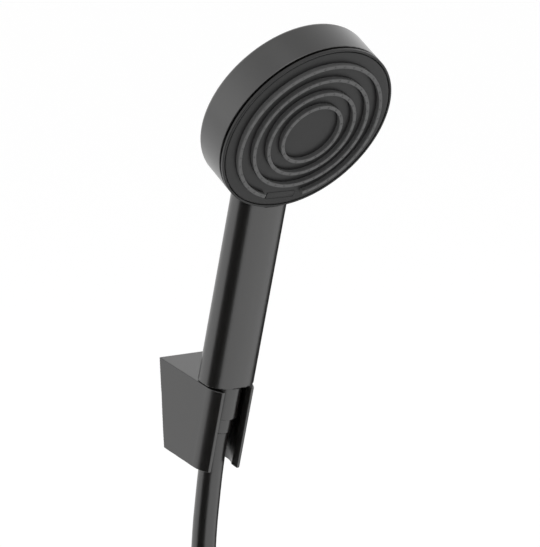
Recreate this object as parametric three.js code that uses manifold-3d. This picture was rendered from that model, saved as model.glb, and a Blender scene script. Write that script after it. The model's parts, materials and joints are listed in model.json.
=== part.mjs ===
// Hand shower set: a handset with a round spray head, parked in a slotted wall
// holder, with its hose. Millimetres, +Z up. The origin is the middle of the
// holder's flat back on the wall plane y = 0; the room is towards -Y.
import * as THREE from "three";
import { mergeVertices } from "three/addons/utils/BufferGeometryUtils.js";
import Module from "manifold-3d";

const wasm = await Module();
wasm.setup();

// ---- driving dimensions (mm, degrees) --------------------------------------
const GAP = 0.3;                          // left between pieces that touch
const LEAN = 18.3;                        // handset axis leans out from the wall
const SEAT = [0, -37.6, 14];              // handset axis at the handle's lower end
const HEAD_BACK_TILT = 17.5;              // head tilt beyond square to the handle
const HEAD_CENTRE = [0, -26.8, 159.6];    // head centre, in handset axes

const HANDLE_HALF_WIDTH = 16.5;
const HANDLE_HALF_DEPTH = 12.0;
const HANDLE_POWER = 2.3;                 // superellipse power of the section
const HANDLE_TOP = 124;                   // ends inside the head
const HANDLE_WALL = 2.7;

const HEAD_RADIUS = 52.5;
const HEAD_BACK = -22.0;                  // back face, along the spray direction
const HEAD_RIM = -0.7;                    // front edge of the housing
const HEAD_WALL = 3.3;
const BACK_EDGE_RADIUS = 2.5;
const TRIM_BOTTOM = 0.7;
const TRIM_TOP = 2.6;
const TRIM_WIDTH = 1.3;
const PLATE_CROWN = 4.6;                  // plate height at its centre
const PLATE_FALL = 1 / 1200;              // crown falls with radius squared
const PLATE_THICKNESS = 2.4;
const PLATE_RADIUS = HEAD_RADIUS - TRIM_WIDTH - GAP - 0.1;
const SKIRT_RADIUS = HEAD_RADIUS - HEAD_WALL - GAP;

const RING_RADII = [18.1, 26.6, 35.1, 43.6];
const RING_WIDTH = 2.1;
const RING_HEIGHT = 2.7;                  // above the plate
const RING_GROOVE_DEPTH = 1.0;
const LABEL_HALF_ANGLE = 17;              // gap in the outer ring, towards the handle
const LABEL_SIZE = [19, 4.6, 0.6];

const CHAMBER_RADIUS = 41;
const CHAMBER_FLOOR = -15.5;
const CHAMBER_TOP = -1.2;
const CHAMBER_WALL = 2.4;
const INLET_HEIGHT = -10.8;               // axis of the chamber inlet
const LUG_RADIUS = 44;
const LUG_ANGLES = [90, 210, 330];

const WATERWAY_RADIUS = 6.2;
const WATERWAY_BORE = 4.9;
const CONNECTOR_RADIUS = 8.7;
const SPIGOT_RADIUS = 7.4;
const SPIGOT_LENGTH = 12;
const VALVE_RADIUS = 5.5;

const NUT_RADIUS = 9.7;
const NUT_LENGTH = 20.4;
const COLLAR_RADIUS = 7.9;
const COLLAR_END = 29.3;                  // down the axis from the seat
const HOSE_RADIUS = 7.0;

const HOLDER_TOP = -1.1;                  // along the handset axis
const HOLDER_BOTTOM = -49.9;
const HOLDER_HALF_WIDTH = 15.0;           // where the sides meet the round corners
const HOLDER_SIDE_END = 2.2;              // sides run this far forward of the axis
const HOLDER_SIDE_SPREAD = 0.06;          // and widen this much towards the wall
const HOLDER_CORNER_RADIUS = 13.5;
const HOLDER_CORNER_END = 43;             // degrees from the front, at the lip
const BORE_RADIUS = 11.3;
const SLOT_HALF_WIDTH = 9.1;
const POCKET = [27, 8, 42];               // room for the wall plate, in the back

const COIL_RADIUS = 75;
const COIL_CENTRE = [0, -232];            // x, z of the hanging coil
const COIL_START_Y = -10.8;
const COIL_PITCH = 14.4;
const COIL_TURNS = 2.125;
const TAIL_LENGTH = 63;
const TIE_THICKNESS = 1.6;
const TIE_WIDTH = 16;

const WALL_PLATE_DEPTH = 4;
const WALL_SCREW_SPACING = 26;
const PAD_RADII = [11.8, 13.6];
const PAD_NEAREST = 9.5;                  // from the handset's middle plane

const BLACK = 0x3c3c3d;
const DARK = 0x1b1b1c;
const GREY = 0x5f5f60;
const BRASS = 0xb08d4a;
const STEEL = 0x9a9ca0;
const WHITE = 0xd8d8d4;

// ---- geometry helpers ------------------------------------------------------
const radians = THREE.MathUtils.degToRad;

// Keeps positions only, merges shared vertices, drops collapsed triangles and
// turns the faces outwards.
function closed(geometry) {
  const bare = geometry.clone();
  bare.deleteAttribute("normal");
  bare.deleteAttribute("uv");
  const merged = mergeVertices(bare, 1e-4);
  const p = merged.attributes.position;
  const index = [];
  let volume = 0;
  const a = new THREE.Vector3();
  const b = new THREE.Vector3();
  const c = new THREE.Vector3();
  for (let i = 0; i < merged.index.count; i += 3) {
    const tri = [0, 1, 2].map((k) => merged.index.getX(i + k));
    if (tri[0] === tri[1] || tri[1] === tri[2] || tri[0] === tri[2]) continue;
    a.fromBufferAttribute(p, tri[0]);
    b.fromBufferAttribute(p, tri[1]);
    c.fromBufferAttribute(p, tri[2]);
    volume += a.dot(b.cross(c)) / 6;
    index.push(...tri);
  }
  if (volume < 0) index.reverse();
  merged.setIndex(index);
  return merged;
}

function toSolid(geometry) {
  const g = closed(geometry);
  const vertProperties = new Float32Array(g.attributes.position.array);
  const triVerts = new Uint32Array(g.index.array);
  return new wasm.Manifold(new wasm.Mesh({ numProp: 3, vertProperties, triVerts }));
}

function fromSolid(solid) {
  const mesh = solid.getMesh();
  const geometry = new THREE.BufferGeometry();
  const positions = new THREE.BufferAttribute(new Float32Array(mesh.vertProperties), 3);
  geometry.setAttribute("position", positions);
  geometry.setIndex(new THREE.BufferAttribute(new Uint32Array(mesh.triVerts), 1));
  return geometry;
}

// The first shape with the others joined on and the cutters taken away.
function cut(base, cutters, joined = []) {
  let solid = toSolid(base);
  for (const piece of joined) solid = solid.add(toSolid(piece));
  for (const cutter of cutters) solid = solid.subtract(toSolid(cutter));
  return fromSolid(solid);
}

// A solid of revolution about +Z from [radius, height] points. A profile that
// doesn't start and end on the axis is closed into a ring.
function turned(points, segments = 40) {
  const profile = points.map(([r, z]) => new THREE.Vector2(r, z));
  const onAxis = points[0][0] === 0 && points[points.length - 1][0] === 0;
  if (!onAxis) profile.push(profile[0].clone());
  return new THREE.LatheGeometry(profile, segments).rotateX(Math.PI / 2);
}

function tubeRing(inner, outer, low, high, segments = 40) {
  return turned([[inner, low], [outer, low], [outer, high], [inner, high]], segments);
}

function rod(radius, low, high, segments = 16) {
  return turned([[0, low], [radius, low], [radius, high], [0, high]], segments);
}

function torus(radius, tube, height, segments = 40, sides = 8) {
  return new THREE.TorusGeometry(radius, tube, sides, segments).translate(0, 0, height);
}

function block(size, centre) {
  return new THREE.BoxGeometry(...size).translate(...centre);
}

function prism(shape, low, high) {
  const options = { depth: high - low, bevelEnabled: false, curveSegments: 1 };
  return new THREE.ExtrudeGeometry(shape, options).translate(0, 0, low);
}

function ovalPoints(halfWidth, halfDepth, count = 44) {
  return Array.from({ length: count }, (_, i) => {
    const angle = (2 * Math.PI * i) / count;
    const bend = (v) => Math.sign(v) * Math.abs(v) ** (2 / HANDLE_POWER);
    const x = halfWidth * bend(Math.cos(angle));
    return new THREE.Vector2(x, halfDepth * bend(Math.sin(angle)));
  });
}

function oval(inset) {
  return new THREE.Shape(ovalPoints(HANDLE_HALF_WIDTH - inset, HANDLE_HALF_DEPTH - inset));
}

function disc(radius, sides) {
  return Array.from({ length: sides }, (_, i) => {
    const angle = (2 * Math.PI * i) / sides;
    return new THREE.Vector2(radius * Math.cos(angle), radius * Math.sin(angle));
  });
}

function swept(curve, radius, sides, steps, bore = 0) {
  const section = new THREE.Shape(disc(radius, sides));
  if (bore > 0) section.holes.push(new THREE.Path(disc(bore, sides)));
  return new THREE.ExtrudeGeometry(section, { extrudePath: curve, steps, curveSegments: 1 });
}

function around(radius, angles, make) {
  return angles.map((angle) => {
    const t = radians(angle);
    return make().translate(radius * Math.cos(t), radius * Math.sin(t), 0);
  });
}

function evenAngles(count) {
  return Array.from({ length: count }, (_, i) => (360 * i) / count);
}

// ---- placement -------------------------------------------------------------
const object = new THREE.Group();
const handset = new THREE.Group();        // +Z up the handle, -Y to the front
handset.position.set(...SEAT);
handset.rotation.x = radians(LEAN);
const head = new THREE.Group();           // +Z along the spray, -Y to the handle
head.position.set(...HEAD_CENTRE);
head.rotation.x = radians(90 + HEAD_BACK_TILT);
handset.add(head);
object.add(handset);
object.updateMatrixWorld(true);
head.updateMatrix();

function add(parent, name, geometry, color, roughness = 0.45, metalness = 0) {
  const material = new THREE.MeshStandardMaterial({ color, roughness, metalness });
  const mesh = new THREE.Mesh(closed(geometry), material);
  mesh.name = name;
  parent.add(mesh);
}

// A point of the head's axes, in handset axes.
function fromHead(x, y, z) {
  return new THREE.Vector3(x, y, z).applyMatrix4(head.matrix);
}

// A point of the handset axis, in world axes.
function fromSeat(height) {
  return new THREE.Vector3(0, 0, height).applyMatrix4(handset.matrixWorld).toArray();
}

// ---- handset housing -------------------------------------------------------
function handsetHousing() {
  const toHandset = (geometry) => geometry.applyMatrix4(head.matrix);
  const inner = HEAD_RADIUS - HEAD_WALL;
  const floor = HEAD_BACK + HANDLE_WALL;
  const rounded = [30, 60].map((angle) => [
    HEAD_RADIUS - BACK_EDGE_RADIUS * (1 - Math.sin(radians(angle))),
    HEAD_BACK + BACK_EDGE_RADIUS * (1 - Math.cos(radians(angle))),
  ]);
  const cup = turned([
    [0, HEAD_BACK],
    [HEAD_RADIUS - BACK_EDGE_RADIUS, HEAD_BACK],
    ...rounded,
    [HEAD_RADIUS, HEAD_BACK + BACK_EDGE_RADIUS],
    [HEAD_RADIUS, HEAD_RIM],
    [0, HEAD_RIM],
  ], 64);
  const behind = (level) => toHandset(block([140, 220, 60], [0, 0, level - 30]));
  const grip = cut(prism(oval(0), 0, HANDLE_TOP), [behind(HEAD_BACK)]);
  const duct = cut(prism(oval(HANDLE_WALL), -1, HANDLE_TOP), [behind(floor)]);
  const cavity = toHandset(rod(inner, floor, 5, 64));
  const seam = toHandset(rod(HEAD_RADIUS + 1, HEAD_RIM, 12, 64));
  const bosses = around(LUG_RADIUS, LUG_ANGLES, () => rod(3, floor - 0.5, CHAMBER_FLOOR - GAP));
  const pilots = around(LUG_RADIUS, LUG_ANGLES, () => rod(1.35, floor + 0.4, CHAMBER_FLOOR + 2, 12));
  let body = cut(grip, [cavity, duct, seam], [toHandset(cup)]);
  body = cut(body, pilots.map(toHandset), bosses.map(toHandset));
  return body;
}
add(handset, "handset_housing", handsetHousing(), BLACK, 0.42);

// ---- spray face ------------------------------------------------------------
function plateTop(radius) {
  return PLATE_CROWN - radius * radius * PLATE_FALL;
}

function arcCurve(radius, height, startAngle, endAngle) {
  const steps = 30;
  const points = Array.from({ length: steps + 1 }, (_, i) => {
    const t = radians(startAngle + ((endAngle - startAngle) * i) / steps);
    return new THREE.Vector3(radius * Math.cos(t), radius * Math.sin(t), height);
  });
  return new THREE.CatmullRomCurve3(points);
}

// A section swept part of the way round; its points are [radial offset, height].
function partRing(radius, points, startAngle, endAngle) {
  const section = new THREE.Shape(points.map(([r, z]) => new THREE.Vector2(-z, -r)));
  const path = arcCurve(radius, 0, startAngle, endAngle);
  return new THREE.ExtrudeGeometry(section, { extrudePath: path, steps: 30, curveSegments: 1 });
}

const OUTER_RING = RING_RADII[RING_RADII.length - 1];
const RING_START = -90 + LABEL_HALF_ANGLE;
const RING_END = 270 - LABEL_HALF_ANGLE;

function sprayPlate() {
  const top = [0, 8, 14, 22, 31, 39, 47, PLATE_RADIUS - 0.6].map((r) => [r, plateTop(r)]);
  const underside = [45, 30, 15, 0].map((r) => [r, plateTop(r) - PLATE_THICKNESS]);
  const plate = turned([
    ...top,
    [PLATE_RADIUS, plateTop(PLATE_RADIUS) - 0.5],
    [PLATE_RADIUS, TRIM_BOTTOM],
    [SKIRT_RADIUS, TRIM_BOTTOM],
    [SKIRT_RADIUS, -2.5],
    [SKIRT_RADIUS - 1.7, -2.5],
    [SKIRT_RADIUS - 1.7, plateTop(47) - PLATE_THICKNESS],
    ...underside,
  ], 44);
  const half = RING_WIDTH / 2 + GAP;
  const grooves = RING_RADII.slice(0, -1).map((r) => {
    const floor = plateTop(r) - RING_GROOVE_DEPTH;
    return tubeRing(r - half, r + half, floor, floor + 4, 32);
  });
  const floor = plateTop(OUTER_RING) - RING_GROOVE_DEPTH;
  const outline = [[-half, floor], [half, floor], [half, floor + 4], [-half, floor + 4]];
  grooves.push(partRing(OUTER_RING, outline, RING_START - 0.4, RING_END + 0.4));
  const pocket = block(
    [LABEL_SIZE[0] + 2 * GAP, LABEL_SIZE[1] + 2 * GAP, 2],
    [0, -OUTER_RING, plateTop(OUTER_RING) - LABEL_SIZE[2] + 1],
  );
  const ports = RING_RADII.flatMap((r) => {
    const angles = evenAngles(6).map((angle) => angle + 30);
    return around(r, angles, () => rod(0.7, -4, 6, 4));
  });
  return cut(plate, [...grooves, pocket, ...ports]);
}
add(head, "spray_plate", sprayPlate(), GREY, 0.5);

function ringOutline(radius) {
  const half = RING_WIDTH / 2;
  const base = plateTop(radius) - RING_GROOVE_DEPTH + GAP;
  const top = plateTop(radius) + RING_HEIGHT;
  return [[-half, base], [half, base], [half, top - 0.4], [half - 0.4, top], [0.4 - half, top], [-half, top - 0.4]];
}

RING_RADII.forEach((radius, i) => {
  const outline = ringOutline(radius);
  const whole = turned(outline.map(([r, z]) => [radius + r, z]), 32);
  const outer = partRing(radius, outline, RING_START, RING_END);
  add(head, `nozzle_ring_${i + 1}`, radius === OUTER_RING ? outer : whole, GREY, 0.7);
});

const labelLevel = plateTop(OUTER_RING) - LABEL_SIZE[2] + GAP + LABEL_SIZE[2] / 2;
add(head, "blank_label", block(LABEL_SIZE, [0, -OUTER_RING, labelLevel]), GREY, 0.35);

const trimInner = HEAD_RADIUS - TRIM_WIDTH;
add(head, "face_trim_ring", turned([
  [trimInner, TRIM_BOTTOM],
  [HEAD_RADIUS, TRIM_BOTTOM],
  [HEAD_RADIUS, TRIM_TOP - 0.9],
  [HEAD_RADIUS - 0.3, TRIM_TOP - 0.3],
  [HEAD_RADIUS - 0.9, TRIM_TOP],
  [trimInner, TRIM_TOP],
], 48), GREY, 0.4);

add(head, "rim_seal", tubeRing(49.6, 51.2, HEAD_RIM + GAP, TRIM_BOTTOM - GAP, 40), DARK, 0.9);

// ---- water chamber in the head ---------------------------------------------
function acrossY(radius, from, to, segments = 20) {
  return rod(radius, from, to, segments).rotateX(-Math.PI / 2).translate(0, 0, INLET_HEIGHT);
}

function waterChamber() {
  const wall = CHAMBER_RADIUS - CHAMBER_WALL;
  const pan = turned([
    [0, CHAMBER_FLOOR],
    [CHAMBER_RADIUS, CHAMBER_FLOOR],
    [CHAMBER_RADIUS, CHAMBER_TOP],
    [wall, CHAMBER_TOP],
    [wall, -6.4],
    [wall - 3, -6.4],
    [wall - 3, CHAMBER_FLOOR + 2],
    [0, CHAMBER_FLOOR + 2],
  ], 32);
  const nose = acrossY(5.4, -45.6, -39);
  const stub = acrossY(4.5, -49.5, -45);
  const lugs = around(LUG_RADIUS, LUG_ANGLES, () => rod(3.4, CHAMBER_FLOOR, CHAMBER_FLOOR + 2.6));
  const holes = around(LUG_RADIUS, LUG_ANGLES, () => rod(1.6, CHAMBER_FLOOR - 1, CHAMBER_FLOOR + 4));
  return cut(pan, [acrossY(3.3, -50, -33), ...holes], [nose, stub, ...lugs]);
}
add(head, "water_chamber", waterChamber(), WHITE, 0.5);
add(head, "chamber_seal", torus(CHAMBER_RADIUS - 1.2, 0.6, -0.2, 32, 6), DARK, 0.9);

function distributor() {
  const plate = rod(CHAMBER_RADIUS - CHAMBER_WALL - 2 * GAP, -6.1, -4.7, 32);
  return cut(plate, around(24, evenAngles(8), () => rod(1.8, -8, -3, 6)));
}
add(head, "distributor_plate", distributor(), WHITE, 0.5);

LUG_ANGLES.forEach((angle, i) => {
  const lugTop = CHAMBER_FLOOR + 2.6 + GAP;
  const screw = turned([
    [0, -18.4],
    [1.05, -18.4],
    [1.05, lugTop],
    [2.7, lugTop],
    [2.7, lugTop + 1.3],
    [0, lugTop + 1.7],
  ], 14);
  const t = radians(angle);
  screw.translate(LUG_RADIUS * Math.cos(t), LUG_RADIUS * Math.sin(t), 0);
  add(head, `chamber_screw_${i + 1}`, screw, STEEL, 0.3, 1);
});

// ---- waterway through the handle -------------------------------------------
const TUBE_START = 20.4;
const waterPath = new THREE.CatmullRomCurve3([
  new THREE.Vector3(0, 0, TUBE_START),
  new THREE.Vector3(0, 0, 45),
  new THREE.Vector3(0, 0, 75),
  new THREE.Vector3(0, 0, 98),
  fromHead(0, -57, INLET_HEIGHT - 0.5),
  fromHead(0, -51.5, INLET_HEIGHT),
  fromHead(0, -46, INLET_HEIGHT),
]);
add(handset, "waterway_tube", swept(waterPath, WATERWAY_RADIUS, 10, 12, WATERWAY_BORE), WHITE, 0.5);
add(handset, "tube_collar_lower", tubeRing(6.6, 7.6, 21.5, 26, 16), STEEL, 0.35, 1);
const upperCollar = tubeRing(6.7, 7.2, -51, -47.8, 16).rotateX(-Math.PI / 2);
add(head, "tube_collar_upper", upperCollar.translate(0, 0, INLET_HEIGHT), STEEL, 0.35, 1);

// ---- connector and check valve in the lower handle --------------------------
add(handset, "handle_end_cap", cut(
  prism(oval(HANDLE_WALL + GAP), 0.2, 3.2),
  [rod(CONNECTOR_RADIUS - 0.2, -1, 5, 32)],
), BLACK, 0.5);

add(handset, "inlet_connector", turned([
  [5.2, -SPIGOT_LENGTH],
  [SPIGOT_RADIUS - 0.5, -SPIGOT_LENGTH],
  [SPIGOT_RADIUS, -SPIGOT_LENGTH + 0.8],
  [SPIGOT_RADIUS, -0.6],
  [8.1, 0.2],
  [8.1, 3.5],
  [CONNECTOR_RADIUS, 3.5],
  [CONNECTOR_RADIUS, 18],
  [8.2, 20],
  [4.5, 20],
  [4.5, 26],
  [3.3, 26],
  [3.3, 18.6],
  [VALVE_RADIUS + GAP, 18.6],
  [VALVE_RADIUS + GAP, -1],
  [5.2, -1],
], 24), BRASS, 0.35, 1);

add(handset, "inlet_strainer", cut(
  rod(4.8, -10.5, -9.3, 16),
  [rod(0.7, -12, -8, 6), ...around(2.9, evenAngles(6), () => rod(0.8, -12, -8, 6))],
), STEEL, 0.4, 1);

function valveCage() {
  const tube = turned([
    [3.0, 0], [VALVE_RADIUS, 0], [VALVE_RADIUS, 13.5], [4.3, 13.5], [4.3, 2], [3.0, 2],
  ], 20);
  const lid = tubeRing(1.3, 4.8, 12, 13.5, 20);
  const openings = around(2.9, evenAngles(4), () => rod(0.85, 11, 15, 6));
  return cut(tube, openings, [lid]);
}
add(handset, "check_valve_cage", valveCage(), WHITE, 0.5);
add(handset, "check_valve_poppet", turned([
  [0, 2.3],
  [3.6, 2.3],
  [3.9, 2.8],
  [3.9, 3.5],
  [1.0, 3.9],
  [1.0, 12.9],
  [0, 12.9],
], 20), DARK, 0.8);

class Helix extends THREE.Curve {
  constructor(radius, low, high, turns) {
    super();
    this.size = { radius, low, high, turns };
  }

  getPoint(t) {
    const { radius, low, high, turns } = this.size;
    const angle = 2 * Math.PI * turns * t;
    return new THREE.Vector3(radius * Math.cos(angle), radius * Math.sin(angle), low + (high - low) * t);
  }
}
add(handset, "check_valve_spring", swept(new Helix(2.4, 4.5, 11.3, 4), 0.28, 5, 40), STEEL, 0.3, 1);

add(handset, "flow_limiter", cut(
  rod(VALVE_RADIUS, 14.2, 16.2, 20),
  around(3.0, evenAngles(5), () => rod(0.9, 13, 18, 6)),
), WHITE, 0.5);

// ---- hose end in the holder -------------------------------------------------
add(handset, "hose_nut_upper", turned([
  [SPIGOT_RADIUS + GAP, -0.7],
  [NUT_RADIUS - 0.4, -0.7],
  [NUT_RADIUS, -1.1],
  [NUT_RADIUS - 0.2, -NUT_LENGTH + 1.3],
  [NUT_RADIUS - 0.5, -NUT_LENGTH + 0.4],
  [NUT_RADIUS - 1.3, -NUT_LENGTH],
  [5.9, -NUT_LENGTH],
  [5.9, -17],
  [SPIGOT_RADIUS + GAP, -17],
], 32), BLACK, 0.45);
add(handset, "hose_washer_upper", tubeRing(4.2, 7.2, -13.5, -12.3, 20), DARK, 0.9);
add(handset, "hose_nipple_upper", turned([
  [3.6, -28.9], [5.5, -28.9], [5.5, -15.4], [7.3, -15.4], [7.3, -13.8], [3.6, -13.8],
], 20), BRASS, 0.35, 1);
add(handset, "swivel_ring", tubeRing(5.9, 7.3, -16.7, -15.7, 20), WHITE, 0.4);
add(handset, "hose_collar_upper", turned([
  [5.9, -COLLAR_END],
  [COLLAR_RADIUS - 0.7, -COLLAR_END],
  [COLLAR_RADIUS - 0.2, -COLLAR_END + 0.5],
  [COLLAR_RADIUS, -NUT_LENGTH - GAP],
  [5.9, -NUT_LENGTH - GAP],
], 32), BLACK, 0.45);

// ---- hose: lead, coil, tail -------------------------------------------------
// The lead leaves the collar along the handset axis, hangs down close to the
// wall and runs into the coil at 45 degrees.
const LEAD = [
  [0, -28.4, -13.8], [0, -25.5, -22.5], [0, -22.9, -32], [0, -20.3, -42.5],
  [0, -17.4, -56], [0, -14.8, -69], [0, -12.8, -82], [0, -11.5, -95],
  [1.1, -10.9, -108], [4.5, -10.8, -120.7], [10, -10.8, -132.5], [19.3, -10.8, -145.3],
];
const lead = new THREE.CatmullRomCurve3(LEAD.map((point) => new THREE.Vector3(...point)));
lead.points[0].set(...fromSeat(-COLLAR_END - GAP));
add(object, "hose_lead", swept(lead, HOSE_RADIUS, 12, 10), BLACK, 0.5);

const COIL_DEPTH = COIL_TURNS * COIL_PITCH + 2 * HOSE_RADIUS;
const coilMiddleY = COIL_START_Y - (COIL_TURNS * COIL_PITCH) / 2;
function coilPlaced(geometry) {
  return geometry.rotateX(Math.PI / 2).translate(COIL_CENTRE[0], coilMiddleY, COIL_CENTRE[1]);
}
const coilInner = COIL_RADIUS - HOSE_RADIUS;
const coilOuter = COIL_RADIUS + HOSE_RADIUS;
const coilRing = tubeRing(coilInner, coilOuter, -COIL_DEPTH / 2, COIL_DEPTH / 2, 40);
add(object, "hose_coil", coilPlaced(coilRing), BLACK, 0.5);

// A strap round the coil's turns, with its slack pressed flat.
function coilTie(angle) {
  const width = 2 * HOSE_RADIUS + 2 * GAP;
  const depth = COIL_DEPTH + 2 * GAP;
  const wall = 2 * TIE_THICKNESS;
  const strap = block([width + wall, TIE_WIDTH, depth + wall], [COIL_RADIUS, 0, 0]);
  const inside = block([width + 0.8, TIE_WIDTH + 4, depth], [COIL_RADIUS - 0.2, 0, 0]);
  return coilPlaced(cut(strap, [inside]).rotateZ(radians(angle)));
}
add(object, "coil_tie_1", coilTie(90), DARK, 0.9);
add(object, "coil_tie_2", coilTie(225), DARK, 0.9);

const TAIL_X = COIL_RADIUS;
const TAIL_Y = COIL_START_Y - COIL_TURNS * COIL_PITCH;
const TAIL_END = COIL_CENTRE[1] - TAIL_LENGTH;
const coilExit = COIL_CENTRE[1] - Math.sqrt(coilOuter ** 2 - coilInner ** 2) - GAP;
const lower = new THREE.Group();
lower.position.set(TAIL_X, TAIL_Y, TAIL_END);
object.add(lower);
add(lower, "hose_tail", rod(HOSE_RADIUS, 0, coilExit - TAIL_END, 12), BLACK, 0.5);
add(lower, "hose_ferrule_lower", turned([
  [5.9, -GAP],
  [COLLAR_RADIUS, -GAP],
  [COLLAR_RADIUS, -12],
  [COLLAR_RADIUS - 0.6, -12.8],
  [5.9, -12.8],
], 32), BLACK, 0.45);
add(lower, "hose_nipple_lower", turned([
  [3.6, -24.6], [9.1, -24.6], [9.1, -22.8], [5.5, -22.8], [5.5, -0.6], [3.6, -0.6],
], 20), BRASS, 0.35, 1);
add(lower, "hose_nut_lower", turned([
  [5.9, -13.1],
  [8.4, -13.1],
  [12, -16.6],
  [12, -34],
  [11.4, -34.6],
  [10.4, -34.6],
  [10.4, -22.4],
  [5.9, -22.4],
], 32), BLACK, 0.45);
add(lower, "hose_washer_lower", tubeRing(4.6, 9.4, -26.9, -24.9, 20), DARK, 0.9);

// ---- wall holder ------------------------------------------------------------
// The section square to the handset axis: sides that spread towards the wall,
// round corners up to the slot's flat lips, and a round bore behind the slot.
function cradleShape(back) {
  const half = HOLDER_HALF_WIDTH;
  const lip = SLOT_HALF_WIDTH;
  const bore = BORE_RADIUS;
  const corner = Array.from({ length: 10 }, (_, i) => {
    const t = radians(90 - (90 - HOLDER_CORNER_END) * (i / 9));
    const x = half - HOLDER_CORNER_RADIUS * (1 - Math.sin(t));
    return [x, -HOLDER_SIDE_END - HOLDER_CORNER_RADIUS * Math.cos(t)];
  });
  const front = corner[corner.length - 1][1];
  const mouth = Math.asin(lip / bore);
  const arc = Array.from({ length: 25 }, (_, i) => {
    const t = mouth + ((2 * Math.PI - 2 * mouth) * i) / 24;
    return [bore * Math.sin(t), -bore * Math.cos(t)];
  });
  const mirrored = corner.map(([x, y]) => [-x, y]).reverse();
  const wide = half + HOLDER_SIDE_SPREAD * (back + HOLDER_SIDE_END);
  const right = [[wide, back], ...corner, [lip, front]];
  const outline = [...right, ...arc, [-lip, front], ...mirrored, [-wide, back]];
  return new THREE.Shape(outline.map(([x, y]) => new THREE.Vector2(x, y)));
}

function holderBody() {
  const cradle = prism(cradleShape(60), HOLDER_BOTTOM, HOLDER_TOP);
  cradle.applyMatrix4(handset.matrixWorld);
  const wall = block([100, 100, 200], [0, 50, 0]);
  const pocket = block([POCKET[0], 2 * POCKET[1], POCKET[2]], [0, 0, 0]);
  const grubHole = rod(1.8, -40, 0, 12).translate(0, -4.6, 0);
  return cut(cradle, [wall, pocket, grubHole]);
}
add(object, "holder_body", holderBody(), BLACK, 0.45);

// A thin arc that the handle's end sits on, either side of the slot.
function cradlePad(side) {
  const ring = tubeRing(...PAD_RADII, HOLDER_TOP + GAP, -GAP, 48);
  const width = 2 * PAD_RADII[1];
  const other = block([width, 2 * width, 10], [side * (PAD_NEAREST - width / 2), 0, 0]);
  return cut(ring, [other]);
}
add(handset, "cradle_pad_left", cradlePad(-1), DARK, 0.9);
add(handset, "cradle_pad_right", cradlePad(1), DARK, 0.9);

function wallPlate() {
  const size = [POCKET[0] - 2 * GAP, WALL_PLATE_DEPTH, POCKET[2] - 2 * GAP];
  const plate = block(size, [0, -WALL_PLATE_DEPTH / 2, 0]);
  const foot = block([10, 3.6, 3], [0, -WALL_PLATE_DEPTH - 1.6, 3 - POCKET[2] / 2 - 1.2]);
  const holes = [-1, 1].map((side) => {
    const hole = turned([[0, -1], [2.4, -1], [2.4, 2.2], [4.6, 4.4], [4.6, 6], [0, 6]], 20);
    return hole.rotateX(Math.PI / 2).translate(0, 0, (side * WALL_SCREW_SPACING) / 2);
  });
  return cut(plate, holes, [foot]);
}
add(object, "wall_plate", wallPlate(), STEEL, 0.4, 1);

["lower", "upper"].forEach((place, i) => {
  const screw = turned([[0, 0.1], [2.0, 0.1], [2.0, 2.4], [4.1, 4.6], [4.1, 5.4], [0, 5.9]], 20);
  const height = (i === 0 ? -1 : 1) * (WALL_SCREW_SPACING / 2);
  add(object, `wall_screw_${place}`, screw.rotateX(Math.PI / 2).translate(0, 0, height), STEEL, 0.3, 1);
});

const grub = rod(1.45, -25.2, -21, 12).translate(0, -4.6, 0);
add(object, "grub_screw", grub, STEEL, 0.3, 1);

export default object;
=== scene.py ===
"""Looks for a hand shower parked in a slotted wall holder, with its coiled hose.

Sizes are in millimetres and angles in degrees, and the studio is in metres. Each
sub-part is made in its own axes: those of the handset (z up the handle, -y to the
front), the head (z along the spray, -y towards the handle), the lower hose end
or the row frame.
"""

import json
import math

import bpy
import numpy as np
from mathutils import Matrix, Vector


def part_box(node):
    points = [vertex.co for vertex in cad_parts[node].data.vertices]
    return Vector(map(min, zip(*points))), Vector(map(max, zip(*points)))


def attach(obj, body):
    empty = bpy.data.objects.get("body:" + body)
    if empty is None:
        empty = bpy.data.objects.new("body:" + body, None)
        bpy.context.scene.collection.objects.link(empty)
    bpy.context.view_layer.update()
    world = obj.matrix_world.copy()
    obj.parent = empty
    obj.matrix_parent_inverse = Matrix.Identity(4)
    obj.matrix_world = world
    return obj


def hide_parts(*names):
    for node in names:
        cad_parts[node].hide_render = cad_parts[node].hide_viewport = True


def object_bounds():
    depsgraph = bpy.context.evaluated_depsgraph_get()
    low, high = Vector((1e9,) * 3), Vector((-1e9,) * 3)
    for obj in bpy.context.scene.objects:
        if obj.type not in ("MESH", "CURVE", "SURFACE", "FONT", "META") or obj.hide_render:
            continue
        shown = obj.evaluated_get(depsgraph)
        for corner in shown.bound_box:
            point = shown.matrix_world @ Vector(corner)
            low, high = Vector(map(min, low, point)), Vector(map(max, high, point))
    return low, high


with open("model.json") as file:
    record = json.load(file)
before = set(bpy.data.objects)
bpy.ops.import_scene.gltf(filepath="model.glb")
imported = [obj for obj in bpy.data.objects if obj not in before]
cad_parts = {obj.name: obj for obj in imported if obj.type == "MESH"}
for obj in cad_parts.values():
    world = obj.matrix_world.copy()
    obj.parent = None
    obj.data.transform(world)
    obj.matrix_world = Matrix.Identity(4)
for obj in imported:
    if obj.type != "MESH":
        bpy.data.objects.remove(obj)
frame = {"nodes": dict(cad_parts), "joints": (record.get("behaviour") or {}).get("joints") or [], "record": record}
cad_low, cad_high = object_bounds()

MM = 0.001
GAP = 0.3

HANDLE_HALF_WIDTH = 16.5
HANDLE_HALF_DEPTH = 12.0
HANDLE_POWER = 2.3
HANDLE_WALL = 2.7
HANDLE_EDGE = 0.35
HANDLE_TOP = 124.0
HEAD_RADIUS = 52.5
HEAD_WALL = 3.3
HEAD_BACK = -22.0
HEAD_RIM = -0.7
BACK_EDGE = 2.5
RIM_EDGE = 0.35
NECK_FILLET = 1.2

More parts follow.
